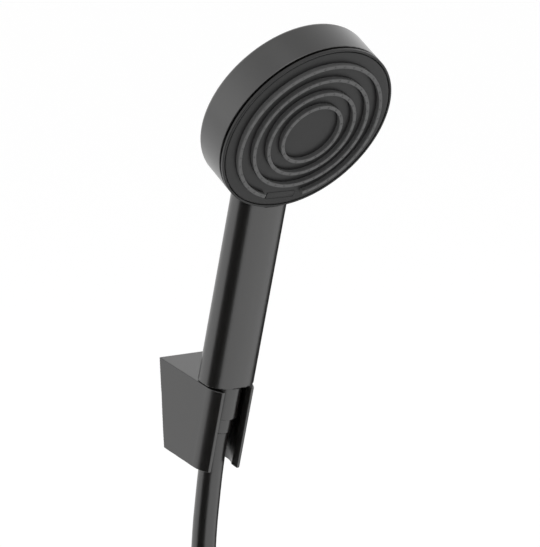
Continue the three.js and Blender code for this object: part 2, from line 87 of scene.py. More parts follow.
TRIM_BOTTOM, TRIM_TOP, TRIM_WIDTH = 0.7, 2.6, 1.3
PLATE_RADIUS = 50.8
PLATE_CROWN, PLATE_FALL = 4.6, 1 / 1200
PLATE_THICKNESS = 2.4
SKIRT_RADIUS, SKIRT_WALL, SKIRT_BOTTOM = 48.9, 1.7, -2.5
RING_RADII = (18.1, 26.6, 35.1, 43.6)
RING_NOZZLES = (18, 26, 34, 38)
RING_WIDTH, RING_HEIGHT, GROOVE_DEPTH = 2.1, 2.7, 1.0
GROOVE_CLEARANCE, GROOVE_SLOPE = 0.12, 0.15
GAP_HALF_ANGLE = 17
LABEL_SIZE, LABEL_CORNER = (19, 4.6, 0.6), 0.8
LABEL_BORDER = 0.3

SPIGOT_RADIUS = 7.4
NUT_RADIUS, NUT_LENGTH = 9.7, 20.4
COLLAR_RADIUS, COLLAR_END = 7.9, 29.3
FERRULE_BORE = 5.9
LOWER_NUT_RADIUS, LOWER_NUT_RIBS, RIB_DEPTH = 12, 30, 0.55
HOSE_RADIUS = 7.0

HOLDER_TOP, HOLDER_BOTTOM = -1.1, -49.9
HOLDER_HALF_WIDTH, HOLDER_SIDE_END, HOLDER_SIDE_SPREAD = 15.0, 2.2, 0.06
HOLDER_CORNER_RADIUS, HOLDER_CORNER_END = 13.5, 43
BORE_RADIUS, SLOT_HALF_WIDTH = 11.3, 9.1
HOLDER_EDGE = 0.3
PAD_RADII, PAD_NEAREST = (11.8, 13.6), 9.5
POCKET_HALF_WIDTH, POCKET_DEPTH, POCKET_HALF_HEIGHT = 13.5, 8.0, 21.0

COIL_RADIUS, COIL_TURNS, COIL_PITCH = 75.0, 2.125, 14.4
COIL_START_ANGLE = 45
TIE_WIDTH, TIE_THICKNESS = 16.0, 1.5
TIE_ANGLES = (90, 225)

CAMERA_AZIMUTH, CAMERA_ELEVATION, CAMERA_ROLL = 38.384, 6.787, -1.575
CAMERA_TARGET, CAMERA_DISTANCE = (24.71, -48.38, 71.91), 1648
CAMERA_LENS = 196.12


# ---- axes of the sub-parts, from the frame -----------------------------------
def joint(name):
    return next(j for j in frame["joints"] if j["name"] == name)


def middle(node):
    low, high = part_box(node)
    return (low + high) / 2


def axes(origin, up):
    """Millimetre axes at origin, with z along up and x along the row frame's x."""
    x, z = Vector((1, 0, 0)), Vector(up).normalized()
    turn = Matrix((x, z.cross(x), z)).transposed().to_4x4()
    return Matrix.Translation(origin) @ turn @ Matrix.Scale(MM, 4)


WORLD = Matrix.Scale(MM, 4)
HANDSET = axes(joint("handset_swivel")["pos_m"], joint("handset_swivel")["axis"])
HEAD = axes(middle("rim_seal"), middle("rim_seal") - middle("distributor_plate"))
_low, _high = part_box("hose_ferrule_lower")
LOWER = axes(((_low.x + _high.x) / 2, (_low.y + _high.y) / 2, _high.z + GAP * MM), (0, 0, 1))


# ---- camera ------------------------------------------------------------------
def camera():
    azimuth, elevation = math.radians(CAMERA_AZIMUTH), math.radians(CAMERA_ELEVATION)
    roll = math.radians(CAMERA_ROLL)
    back = Vector((
        -math.sin(azimuth) * math.cos(elevation),
        -math.cos(azimuth) * math.cos(elevation),
        math.sin(elevation),
    ))
    data = bpy.data.cameras.new("camera")
    data.sensor_width = 36
    data.lens = CAMERA_LENS
    data.clip_start, data.clip_end = 0.1, 100
    cam = bpy.data.objects.new("camera", data)
    bpy.context.scene.collection.objects.link(cam)
    cam.location = (Vector(CAMERA_TARGET) + back * CAMERA_DISTANCE) * MM
    right = Vector((math.cos(azimuth), -math.sin(azimuth), 0))
    up = back.cross(right)
    turned_right = right * math.cos(roll) + up * math.sin(roll)
    turned_up = back.cross(turned_right)
    cam.rotation_mode = "QUATERNION"
    cam.rotation_quaternion = Matrix((turned_right, turned_up, back)).transposed().to_quaternion()
    bpy.context.scene.camera = cam


camera()


# ---- materials ---------------------------------------------------------------
class Finish:
    """A Principled material whose colour, roughness and relief vary with noise."""

    def __init__(self, name, dark, light, rough, **inputs):
        self.material = bpy.data.materials.new(name)
        self.material.use_nodes = True
        self.nodes = self.material.node_tree.nodes
        self.links = self.material.node_tree.links
        self.shader = self.nodes["Principled BSDF"]
        self.place = self.nodes.new("ShaderNodeTexCoord").outputs["Object"]
        for key, value in inputs.items():
            self.shader.inputs[key.replace("_", " ")].default_value = value
        cloud = self.noise(180, 3)
        self.links.new(self.ramp(cloud, dark, light), self.shader.inputs["Base Color"])
        self.vary(self.noise(420, 2), rough, "Roughness")

    def noise(self, scale, detail, stretch=(1, 1, 1)):
        mapping = self.nodes.new("ShaderNodeMapping")
        mapping.inputs["Scale"].default_value = stretch
        self.links.new(self.place, mapping.inputs["Vector"])
        node = self.nodes.new("ShaderNodeTexNoise")
        node.inputs["Scale"].default_value = scale
        node.inputs["Detail"].default_value = detail
        self.links.new(mapping.outputs["Vector"], node.inputs["Vector"])
        return node.outputs["Fac"]

    def ramp(self, factor, dark, light):
        node = self.nodes.new("ShaderNodeValToRGB")
        for element, position, colour in zip(node.color_ramp.elements, (0.3, 0.7), (dark, light)):
            element.position = position
            element.color = (*colour, 1)
        self.links.new(factor, node.inputs["Fac"])
        return node.outputs["Color"]

    def vary(self, factor, span, target):
        node = self.nodes.new("ShaderNodeMapRange")
        node.inputs["To Min"].default_value, node.inputs["To Max"].default_value = span
        self.links.new(factor, node.inputs["Value"])
        self.links.new(node.outputs["Result"], self.shader.inputs[target])

    def relief(self, height, strength, distance):
        bump = self.nodes.new("ShaderNodeBump")
        bump.inputs["Strength"].default_value = strength
        bump.inputs["Distance"].default_value = distance
        self.links.new(height, bump.inputs["Height"])
        self.links.new(bump.outputs["Normal"], self.shader.inputs["Normal"])
        return self


def grey(level, warmth=0.0):
    return (level * (1 + warmth), level, level * (1 - warmth))


def matte_black():
    finish = Finish("matte_black", grey(0.004, 0.08), grey(0.005, 0.08), (0.27, 0.29), IOR=1.88)
    return finish.relief(finish.noise(900, 2), 0.1, 0.000004)


def plate_grey():
    finish = Finish("plate_grey", grey(0.0115), grey(0.0125), (0.4, 0.44), IOR=1.43)
    return finish.relief(finish.noise(900, 2), 0.1, 0.000006)


def silicone():
    finish = Finish("silicone", grey(0.085), grey(0.095), (0.55, 0.62), IOR=1.42)
    return finish.relief(finish.noise(900, 2), 0.1, 0.00001)


def seal_rubber():
    finish = Finish("seal_rubber", grey(0.004), grey(0.006), (0.75, 0.85), IOR=1.4)
    return finish.relief(finish.noise(900, 3), 0.2, 0.0002)


def inner_plastic():
    finish = Finish("inner_plastic", grey(0.55, 0.02), grey(0.62, 0.02), (0.38, 0.48), IOR=1.5)
    return finish.relief(finish.noise(700, 2), 0.08, 0.0001)


def brass():
    finish = Finish("brass", (0.62, 0.43, 0.17), (0.72, 0.52, 0.22), (0.24, 0.36), Metallic=1.0)
    return finish.relief(finish.noise(300, 2, (1, 1, 12)), 0.1, 0.0001)


def steel():
    finish = Finish("steel", grey(0.5), grey(0.6), (0.26, 0.38), Metallic=1.0)
    return finish.relief(finish.noise(260, 2, (14, 1, 1)), 0.1, 0.0001)


def hose_black():
    finish = Finish("hose_black", grey(0.004, 0.08), grey(0.005, 0.08), (0.28, 0.3), IOR=1.86)
    return finish.relief(finish.noise(700, 2), 0.1, 0.000004)


def strap():
    finish = Finish("strap", grey(0.012), grey(0.03), (0.85, 0.95), IOR=1.4)
    return finish.relief(finish.noise(2400, 4), 0.9, 0.0005)


MAKERS = (
    matte_black, plate_grey, silicone, seal_rubber, inner_plastic, brass, steel, hose_black, strap,
)
MATERIALS = {make.__name__: make().material for make in MAKERS}


# ---- mesh helpers --------------------------------------------------------------
def piece(name, verts, faces, place, body, slot, replaces=(), sharp=32, normals=None):
    """Makes a shown piece from points in place's axes, and rides it on body."""
    mesh = bpy.data.meshes.new(name)
    mesh.from_pydata([tuple(map(float, v)) for v in verts], [], faces)
    mesh.validate()
    mesh.transform(place)
    mesh.shade_smooth()
    if normals is None:
        mesh.set_sharp_from_angle(angle=math.radians(sharp))
    else:
        turn = np.array(place.to_3x3().normalized())
        mesh.normals_split_custom_set_from_vertices((normals @ turn.T).tolist())
    made = bpy.data.objects.new(name, mesh)
    bpy.context.scene.collection.objects.link(made)
    mesh.materials.append(MATERIALS[slot])
    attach(made, body)
    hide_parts(*replaces)
    return made


def joined(parts):
    """Several (points, faces) shells as one."""
    verts, faces = [], []
    for points, polygons in parts:
        start = len(verts)
        verts.extend(points)
        faces.extend([start + i for i in polygon] for polygon in polygons)
    return verts, faces


def softened(profile, radius, steps=4, ring=True):
    """The profile with its corners rounded, and a close point before and after each."""
    count = len(profile)
    points = []
    for i, corner in enumerate(profile):
        if not ring and i in (0, count - 1):
            points.append(corner)
            continue
        here = np.array(corner, float)
        before = np.array(profile[i - 1], float) - here
        after = np.array(profile[(i + 1) % count], float) - here
        back_length, on_length = np.linalg.norm(before), np.linalg.norm(after)
        reach = min(radius, 0.4 * back_length, 0.4 * on_length)
        start, end = here + before / back_length * reach, here + after / on_length * reach
        points.append(tuple(here + before / back_length * min(reach * 1.2, 0.48 * back_length)))
        for k in range(steps + 1):
            t = k / steps
            points.append(tuple((1 - t) ** 2 * start + 2 * t * (1 - t) * here + t * t * end))
        points.append(tuple(here + after / on_length * min(reach * 1.2, 0.48 * on_length)))
    return points


def turned(profile, segments=192, start=0.0, sweep=360.0):
    """A shell turned about z from (radius, height) points, all round or part of the way."""
    whole = sweep >= 360
    on_axis = profile[0][0] == 0 and profile[-1][0] == 0
    columns = segments if whole else segments + 1
    angles = np.radians(start + sweep * np.arange(columns) / segments)
    verts, rows = [], []
    for radius, height in profile:
        if radius == 0:
            rows.append([len(verts)] * columns)
            verts.append((0, 0, height))
            continue
        rows.append(list(range(len(verts), len(verts) + columns)))
        verts.extend((radius * math.cos(a), radius * math.sin(a), height) for a in angles)
    links = list(zip(rows, rows[1:])) + ([] if on_axis else [(rows[-1], rows[0])])
    faces = []
    for low, high in links:
        for i in range(segments):
            j = (i + 1) % columns
            polygon = [low[i], low[j], high[j], high[i]]
            faces.append([v for k, v in enumerate(polygon) if v != polygon[k - 1]])
    if not whole and not on_axis:
        faces.append([row[0] for row in rows])
        faces.append([row[-1] for row in reversed(rows)])
    return verts, faces


def moved(part, matrix):
    verts, faces = part
    return [tuple(matrix @ Vector(v)) for v in verts], faces


def rounded_outline(half_x, half_y, radius, steps=5):
    """A rectangle with round corners, anticlockwise."""
    points = []
    for quarter, (sx, sy) in enumerate(((1, 1), (-1, 1), (-1, -1), (1, -1))):
        for k in range(steps + 1):
            a = math.radians(90 * (quarter + k / steps))
            points.append((
                sx * (half_x - radius) + radius * math.cos(a),
                sy * (half_y - radius) + radius * math.sin(a),
            ))
    return points


def slab(half_x, half_y, low, high, corner, edge):
    """A flat block with round corners and a soft top edge."""
    levels = [(0, low), (0, high - edge), (0.3 * edge, high - 0.3 * edge), (edge, high)]
    rows, verts = [], []
    for inset, height in levels:
        outline = rounded_outline(half_x - inset, half_y - inset, max(corner - inset, 0.05))
        rows.append(range(len(verts), len(verts) + len(outline)))
        verts.extend((x, y, height) for x, y in outline)
    count = len(rows[0])
    faces = [list(reversed(rows[0])), list(rows[-1])]
    for low_row, high_row in zip(rows, rows[1:]):
        for i in range(count):
            j = (i + 1) % count
            faces.append([low_row[i], low_row[j], high_row[j], high_row[i]])
    return verts, faces


# ---- solids from distance fields ------------------------------------------------
def round_union(a, b, radius):
    spare_a, spare_b = np.maximum(radius - a, 0), np.maximum(radius - b, 0)
    return np.maximum(radius, np.minimum(a, b)) - np.hypot(spare_a, spare_b)


def round_cut(a, b, radius):
    """Where a and b are both negative, with the edge between them rounded."""
    return -round_union(-a, -b, radius)


def surface(field, xs, ys, zs):
    """The surface where field is 0: points, quads and outward normals."""
    grid = np.meshgrid(xs, ys, zs, indexing="ij")
    values = field(*grid)
    inside = values < 0
    corners = np.zeros(np.array(values.shape) - 1, int)
    for dx in (0, 1):
        for dy in (0, 1):
            for dz in (0, 1):
                part = inside[dx:, dy:, dz:]
                corners += part[: corners.shape[0], : corners.shape[1], : corners.shape[2]]
    active = (corners > 0) & (corners < 8)
    index = np.full(corners.shape, -1)
    index[active] = np.arange(active.sum())
    total, hits = np.zeros((active.sum(), 3)), np.zeros(active.sum())
    quads = []
    for axis in range(3):
        step = np.eye(3, dtype=int)[axis]
        near = tuple(slice(0, n - s) for n, s in zip(values.shape, step))
        far = tuple(slice(s, None) for s in step)
        where = np.argwhere(inside[near] != inside[far])
        a, b = values[tuple(where.T)], values[tuple((where + step).T)]
        share = (a / (a - b))[:, None]
        ends = [np.stack([g[tuple(w.T)] for g in grid], 1) for w in (where, where + step)]
        crossing = ends[0] * (1 - share) + ends[1] * share
        u, v = np.eye(3, dtype=int)[(axis + 1) % 3], np.eye(3, dtype=int)[(axis + 2) % 3]
        around = [index[tuple((where - offset).T)] for offset in (0 * u, u, u + v, v)]
        for cell in around:
            np.add.at(total, cell, crossing)
            np.add.at(hits, cell, 1)
        quad = np.stack(around, 1)
        quads.append(np.where((a < 0)[:, None], quad, quad[:, ::-1]))
    points = total / hits[:, None]
    for _ in range(3):
        level, slope = field(*points.T), gradient(field, points)
        points = points - slope * (level / np.maximum((slope**2).sum(1), 0.05))[:, None]
    slope = gradient(field, points)
    normals = slope / np.linalg.norm(slope, axis=1, keepdims=True)
    return points, np.concatenate(quads).tolist(), normals


def gradient(field, points, reach=0.02):
    return np.stack([
        (field(*(points + reach * e).T) - field(*(points - reach * e).T)) / (2 * reach)
        for e in np.eye(3)
    ], 1)


# ---- handset housing --------------------------------------------------------------
def housing():
    """The cup and the handle as one, flush at the back, with the duct between them."""
    to_handle = np.array(HANDSET.inverted() @ HEAD)

    def oval(x, y, inset):
        p = HANDLE_POWER
        a, b = HANDLE_HALF_WIDTH - inset, HANDLE_HALF_DEPTH - inset
        u, v = np.abs(x) / a + 1e-9, np.abs(y) / b + 1e-9
        level = (u**p + v**p) ** (1 / p)
        slope = level ** (1 - p) * np.hypot(u ** (p - 1) / a, v ** (p - 1) / b)
        return (level - 1) / slope

    def field(x, y, z):
        spread, height = np.hypot(x, y), z
        hx, hy, hz = (sum(to_handle[r, c] * v for c, v in enumerate((x, y, z))) + to_handle[r, 3]
                      for r in range(3))
        cup = round_cut(spread - HEAD_RADIUS, height - HEAD_RIM, RIM_EDGE)
        handle = round_cut(oval(hx, hy, 0), -hz, HANDLE_EDGE)
        over_seam = np.maximum(spread - HEAD_RADIUS - 1, HEAD_RIM - height)
        handle = round_cut(handle, -over_seam, RIM_EDGE)
        outer = round_union(cup, handle, NECK_FILLET)
        outer = np.where(height > HEAD_RIM - 0.6, np.minimum(cup, handle), outer)
        outer = round_cut(outer, HEAD_BACK - height, BACK_EDGE)
        floor = HEAD_BACK + HANDLE_WALL
        cavity = np.maximum(spread - HEAD_RADIUS + HEAD_WALL, floor - height)
        duct = np.maximum(oval(hx, hy, HANDLE_WALL), np.maximum(floor - height, hz - HANDLE_TOP))
        return round_cut(outer, -np.minimum(cavity, duct), RIM_EDGE)

    step = 0.9
    xs = np.arange(-54.3, 54.4, step)
    ys = np.arange(-176, 54.4, step)
    zs = np.concatenate([
        np.arange(-23.6, -2.5, step), np.arange(-2.5, 0.6, 0.3), np.arange(0.6, 36, step),
    ])
    points, quads, normals = surface(field, xs, ys, zs)
    piece("housing", points, quads, HEAD, "handset", "matte_black", ["handset_housing"],
          normals=normals)


# ---- spray face ---------------------------------------------------------------------
def plate_top(radius):
    return PLATE_CROWN - radius * radius * PLATE_FALL


def face_plate():
    """The crowned plate, with a groove under each nozzle ring and the outer one broken."""
    half = RING_WIDTH / 2 + GROOVE_CLEARANCE
    groove = [-half - GROOVE_SLOPE, -half, -half, half, half, half + GROOVE_SLOPE]
    # For each radius, how far it sinks all round and how far only along the outer ring.
    sunk = [0, 0, 1, 1, 0, 0]
    middle_radii, edge_radii = [0.0, 6, 12], [47.5, 49.4, 50.2]
    radii = middle_radii + [ring + r for ring in RING_RADII for r in groove] + edge_radii
    whole_rings = [0.0] * 3 + sunk * 3 + [0.0] * 9
    outer_ring = [0.0] * 21 + sunk + [0.0] * 3
    start, end = -90 + GAP_HALF_ANGLE - 0.2, 270 - GAP_HALF_ANGLE + 0.2
    ring_angles = np.linspace(start, end, 240)
    gap_angles = np.linspace(end, start + 360, 24)
    angles = [(a, 1) for a in ring_angles] + [(a, 0) for a in gap_angles]
    skirt_inside = SKIRT_RADIUS - SKIRT_WALL
    rolled = PLATE_RADIUS - 0.2
    skirt = [(rolled, plate_top(rolled) - 0.12), (PLATE_RADIUS, plate_top(PLATE_RADIUS) - 0.45),
             (PLATE_RADIUS, TRIM_BOTTOM), (SKIRT_RADIUS, TRIM_BOTTOM),
             (SKIRT_RADIUS, SKIRT_BOTTOM), (skirt_inside, SKIRT_BOTTOM),
             (skirt_inside, plate_top(47) - PLATE_THICKNESS)]
    verts, rows = [], []
    for angle, on_ring in angles:
        c, s = math.cos(math.radians(angle)), math.sin(math.radians(angle))
        column = []
        for r, whole, part in zip(radii, whole_rings, outer_ring):
            height = plate_top(r) - GROOVE_DEPTH * (whole + part * on_ring)
            column.append((r * c, r * s, height))
        column.extend((r * c, r * s, height) for r, height in skirt)
        rows.append(range(len(verts), len(verts) + len(column)))
        verts.extend(column)
    faces = []
    for a, b in zip(rows, rows[1:] + rows[:1]):
        for k in range(len(a) - 1):
            faces.append([a[k], b[k], b[k + 1], a[k + 1]])
    under = len(verts)
    verts.append((0, 0, PLATE_CROWN - PLATE_THICKNESS))
    for a, b in zip(rows, rows[1:] + rows[:1]):
        faces.append([a[-1], b[-1], under])
    piece("face_plate", verts, faces, HEAD, "handset", "plate_grey", ["spray_plate"])


def nozzle_ring(number):
    """A silicone ridge on a narrower neck, with fine nozzle tips along its top."""
    radius = RING_RADII[number]
    half = RING_WIDTH / 2
    base, level = plate_top(radius) - GROOVE_DEPTH + GAP, plate_top(radius) + RING_HEIGHT
    neck = half - 0.28
    waist = plate_top(radius) + 1.15
    section = [(-neck, base), (neck, base), (neck, waist), (half, waist + 0.3), (half, level),
               (-half, level), (-half, waist + 0.3), (-neck, waist)]
    profile = [(radius + r, z) for r, z in softened(section, 0.45, 3)]
    broken = number == len(RING_RADII) - 1
    start, sweep = (-90 + GAP_HALF_ANGLE, 360 - 2 * GAP_HALF_ANGLE) if broken else (0.0, 360.0)
    parts = [turned(profile, 216, start, sweep)]
    count = RING_NOZZLES[number]
    tip = softened([(0, 0.16), (0.2, 0.16), (0.28, 0.3), (0.5, 0.3), (0.62, -0.3), (0, -0.3)],
                   0.06, 2, ring=False)
    for k in range(count):
        share = (k + 0.5) / count if broken else k / count
        angle = math.radians(start + sweep * share)
        place = Matrix.Translation((radius * math.cos(angle), radius * math.sin(angle), level))
        parts.append(moved(turned(tip, 12), place))
    verts, faces = joined(parts)
    piece(f"nozzles_{number + 1}", verts, faces, HEAD, "handset", "silicone",
          [f"nozzle_ring_{number + 1}"])


def label():
    """A blank badge with a fine raised border."""
    width, depth, thickness = LABEL_SIZE
    middle_y = -RING_RADII[3]
    base = plate_top(RING_RADII[3]) - thickness + GAP
    top = base + thickness
    badge = slab(width / 2, depth / 2, base, top - 0.1, LABEL_CORNER, 0.1)
    outer = rounded_outline(width / 2, depth / 2, LABEL_CORNER)
    inner = rounded_outline(width / 2 - LABEL_BORDER, depth / 2 - LABEL_BORDER,
                            LABEL_CORNER - LABEL_BORDER)
    count = len(outer)
    crest, foot = top + 0.02, top - 0.15
    border = []
    for outline, height in ((outer, foot), (outer, crest), (inner, crest), (inner, foot)):
        border += [(x, y, height) for x, y in outline]
    faces = []
    for row in range(3):
        for i in range(count):
            j = (i + 1) % count
            faces.append([row * count + i, row * count + j, (row + 1) * count + j,
                          (row + 1) * count + i])
    verts, faces = joined([badge, (border, faces)])
    place = HEAD @ Matrix.Translation((0, middle_y, 0))
    piece("blank_badge", verts, faces, place, "handset", "plate_grey", ["blank_label"])


def face_edge():
    """The trim round the plate, and the gasket in the seam behind it."""
    inner = HEAD_RADIUS - TRIM_WIDTH
    profile = [(inner, TRIM_BOTTOM), (HEAD_RADIUS, TRIM_BOTTOM), (HEAD_RADIUS, TRIM_TOP - 0.3),
               (HEAD_RADIUS - 0.3, TRIM_TOP), (inner, TRIM_TOP)]
    verts, faces = turned(softened(profile, 0.5), 256)
    piece("rim_trim", verts, faces, HEAD, "handset", "plate_grey", ["face_trim_ring"])
    seal = softened([(49.6, -0.4), (51.2, -0.4), (51.2, 0.4), (49.6, 0.4)], 0.15, 3)
    verts, faces = turned(seal, 192)
    piece("rim_gasket", verts, faces, HEAD, "handset", "seal_rubber", ["rim_seal"])


# ---- hose end in the holder ------------------------------------------------------------
def hose_end():
    """The nut under the handle and the ferrule below it."""
    nut = [(SPIGOT_RADIUS + GAP, -0.7), (NUT_RADIUS, -0.7), (NUT_RADIUS - 0.2, -NUT_LENGTH),
           (FERRULE_BORE, -NUT_LENGTH), (FERRULE_BORE, -17), (SPIGOT_RADIUS + GAP, -17)]
    verts, faces = turned(softened(nut, 0.7))
    piece("upper_nut_shell", verts, faces, HANDSET, "upper_nut", "matte_black",
          ["hose_nut_upper"])
    top = -NUT_LENGTH - GAP
    collar = [(FERRULE_BORE, -COLLAR_END), (COLLAR_RADIUS - 0.2, -COLLAR_END),
              (COLLAR_RADIUS, top), (FERRULE_BORE, top)]
    verts, faces = turned(softened(collar, 0.5))
    piece("upper_ferrule", verts, faces, HANDSET, "hose", "matte_black", ["hose_collar_upper"])


# ---- wall holder --------------------------------------------------------------------------
def holder():
    """A cradle square to the handset, with its back cut off on the wall plane."""
    to_world = np.array(WORLD.inverted() @ HANDSET)
    corner = HOLDER_CORNER_RADIUS
    lip_front = HOLDER_SIDE_END + corner * math.cos(math.radians(HOLDER_CORNER_END))

    def field(x, y, z):
        wy, wz = (to_world[r, 1] * y + to_world[r, 2] * z + to_world[r, 3] for r in (1, 2))
        front = -y
        ahead = front - HOLDER_SIDE_END
        side = np.abs(x) - HOLDER_HALF_WIDTH
        arc = np.hypot(side + corner, np.maximum(ahead, 0)) - corner
        outer = np.where(ahead > 0, arc, side + HOLDER_SIDE_SPREAD * ahead)
        outer = round_cut(outer, front - lip_front, HOLDER_EDGE)
        outer = round_cut(outer, wy, HOLDER_EDGE)
        outer = round_cut(outer, np.maximum(z - HOLDER_TOP, HOLDER_BOTTOM - z), HOLDER_EDGE)
        bore = np.hypot(x, y) - BORE_RADIUS
        slot = np.maximum(np.abs(x) - SLOT_HALF_WIDTH, -front)
        pocket = np.maximum(np.abs(x) - POCKET_HALF_WIDTH, np.abs(wz) - POCKET_HALF_HEIGHT)
        pocket = np.maximum(pocket, -POCKET_DEPTH - wy)
        grub = np.maximum(np.hypot(x, wy + 4.6) - 1.8, wz)
        inner = np.minimum(np.minimum(bore, slot), np.minimum(pocket, grub))
        return round_cut(outer, -inner, HOLDER_EDGE)

    step = 0.55
    xs = np.arange(-18.2, 18.3, step)
    ys = np.arange(-13.6, 41.5, step)
    zs = np.concatenate([
        np.arange(-51, -48, 0.25), np.arange(-48, -3, step), np.arange(-3, -0.4, 0.25),
    ])
    points, quads, normals = surface(field, xs, ys, zs)
    piece("holder_shell", points, quads, HANDSET, "holder", "matte_black", ["holder_body"],
          normals=normals)


def seat_pads():
    """Thin arcs that the handle's end sits on, either side of the slot."""
    inner, outer = PAD_RADII
    low, high = HOLDER_TOP + GAP, -GAP
    reach = math.degrees(math.acos(PAD_NEAREST / inner))
    section = softened([(inner, low), (outer, low), (outer, high), (inner, high)], 0.12, 2)
    for side, facing in (("left", 180), ("right", 0)):
        verts, faces = turned(section, 40, facing - reach, 2 * reach)
        piece(f"pad_{side}", verts, faces, HANDSET, "holder", "seal_rubber",
              [f"cradle_pad_{side}"])


# ---- hose ----------------------------------------------------------------------------------
def lead_points():
    """Down from the ferrule, close to the wall, and out to the coil at 45 degrees."""
    start = WORLD.inverted() @ HANDSET @ Vector((0, 0, -COLLAR_END - GAP))
    return [
        tuple(start), (0, -25.5, -22.5), (0, -22.9, -32), (0, -20.3, -42.5), (0, -17.4, -56),
        (0, -14.8, -69), (0, -12.8, -82), (0, -11.5, -95), (1.1, -10.9, -108),
        (4.5, -10.8, -120.7), (10, -10.8, -132.5), (19.3, -10.8, -145.3), (30.5, -10.8, -156.5),
        (42, -10.8, -168),
    ]


def smooth_line(knots, per_span):
    """Catmull-Rom points through the knots."""
    k = np.array(knots, float)
    k = np.vstack([2 * k[0] - k[1], k, 2 * k[-1] - k[-2]])
    line = []
    for a, b, c, d in zip(k, k[1:], k[2:], k[3:]):
        for t in np.arange(per_span) / per_span:
            line.append(0.5 * (2 * b + (c - a) * t + (2 * a - 5 * b + 4 * c - d) * t**2
                               + (3 * b - a - 3 * c + d) * t**3))
    line.append(k[-2])
    return line


def hose_route():
    """The lead, the coil's turns, and the tail straight down to the lower ferrule."""
    low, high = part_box("hose_coil")
    centre = ((low.x + high.x) / 2 / MM, (low.z + high.z) / 2 / MM)
    line = smooth_line(lead_points(), 6)
    first_y = line[-1][1]
    coil_steps, tail_steps = 220, 16
    for i in range(coil_steps + 1):
        turn = COIL_TURNS * i / coil_steps
        angle = math.radians(COIL_START_ANGLE - 360 * turn)
        line.append(np.array((
            centre[0] + COIL_RADIUS * math.cos(angle),
            first_y - COIL_PITCH * turn,
            centre[1] + COIL_RADIUS * math.sin(angle),
        )))
    end = WORLD.inverted() @ LOWER @ Vector((0, 0, 0))
    last = line[-1]
    for i in range(1, tail_steps + 1):
        t = i / tail_steps
        ease = t * t * (3 - 2 * t)
        line.append(np.array((
            last[0] + (end.x - last[0]) * ease, last[1] + (end.y - last[1]) * ease,
            last[2] + (end.z - last[2]) * t,
        )))
    return line


def hose():
    line = hose_route()
    curve = bpy.data.curves.new("hose_tube", "CURVE")
    curve.dimensions = "3D"
    curve.bevel_depth = HOSE_RADIUS * MM
    curve.bevel_resolution = 10
    curve.use_fill_caps = True
    spline = curve.splines.new("POLY")
    spline.points.add(len(line) - 1)
    for point, place in zip(spline.points, line):
        point.co = (*(place * MM), 1)
    spline.use_smooth = True
    made = bpy.data.objects.new("hose_tube", curve)
    bpy.context.scene.collection.objects.link(made)
    curve.materials.append(MATERIALS["hose_black"])
    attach(made, "hose")
    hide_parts("hose_lead", "hose_coil", "hose_tail")
    return made, Vector(line[0]) * MM


def tie(name, angle, strands, node):
    """A strap round the strands at one place of the coil, its end pressed flat outside."""
    low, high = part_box("hose_coil")
    centre = Vector(((low.x + high.x) / 2, 0, (low.z + high.z) / 2)) / MM
    radial = HOSE_RADIUS + 0.5 + TIE_THICKNESS / 2
    across = (max(strands) - min(strands)) / 2 + radial
    loop = rounded_outline(radial, across, radial - 0.4, 9)
    count = len(loop)
    tail = [(x + TIE_THICKNESS * 1.05, y) for x, y in
            ((radial, t) for t in np.linspace(across * 0.45, -across * 0.45, 8))]
    tail = [(radial + 0.25, across * 0.62)] + tail
    half_w, half_t = TIE_WIDTH / 2, TIE_THICKNESS / 2
    section = rounded_outline(half_t, half_w, 0.5, 3)

    def band(path, closed):
        rows, verts = [], []
        steps = len(path)
        for i, here in enumerate(path):
            ahead = path[(i + 1) % steps] if closed or i < steps - 1 else here
            behind = path[i - 1] if closed or i > 0 else here
            along = Vector((ahead[0] - behind[0], ahead[1] - behind[1])).normalized()
            out = Vector((along.y, -along.x))
            rows.append(range(len(verts), len(verts) + len(section)))
            verts.extend((here[0] + out.x * u, here[1] + out.y * u, w) for u, w in section)
        faces = []
        for a, b in zip(rows, rows[1:] + (rows[:1] if closed else [])):
            for i in range(len(section)):
                j = (i + 1) % len(section)
                faces.append([a[i], b[i], b[j], a[j]])
        if not closed:
            faces += [list(rows[0]), list(reversed(rows[-1]))]
        return verts, faces

    verts, faces = joined([band(loop, True), band(tail, False)])
    t = math.radians(angle)
    out, along = Vector((math.cos(t), 0, math.sin(t))), Vector((-math.sin(t), 0, math.cos(t)))
    turn = Matrix((out, Vector((0, 1, 0)), along)).transposed().to_4x4()
    origin = centre + out * COIL_RADIUS + Vector((0, (max(strands) + min(strands)) / 2, 0))
    return piece(name, verts, faces, WORLD @ Matrix.Translation(origin) @ turn, "hose", "strap",
                 [node], sharp=40)


def ties():
    """Two straps, each round the coil's two strands at its place."""
    first_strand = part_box("hose_coil")[1].y / MM - HOSE_RADIUS
    made = []
    for number, angle in enumerate(TIE_ANGLES, 1):
        passed = ((COIL_START_ANGLE - angle) % 360) / 360
        strands = [first_strand - COIL_PITCH * (passed + lap) for lap in (0, 1)]
        made.append(tie(f"strap_{number}", angle, strands, f"coil_tie_{number}"))
    return made


# ---- lower hose end -------------------------------------------------------------------------
def ribbed(profile, low, high, ribs, depth, segments=240):
    """A turned shell with shallow upright ribs between two heights on its outside."""
    verts, faces = turned(profile, segments)
    outside = max(r for r, _ in profile)
    shaped = []
    for x, y, z in verts:
        radius, angle = math.hypot(x, y), math.atan2(y, x)
        if radius > outside - 0.8:
            fade = min(max((z - low) / 1.5, 0), 1) * min(max((high - z) / 1.5, 0), 1)
            wave = 0.5 - 0.5 * math.cos(ribs * angle)
            scale = 1 - depth * fade * wave / radius
            x, y = x * scale, y * scale
        shaped.append((x, y, z))
    return shaped, faces


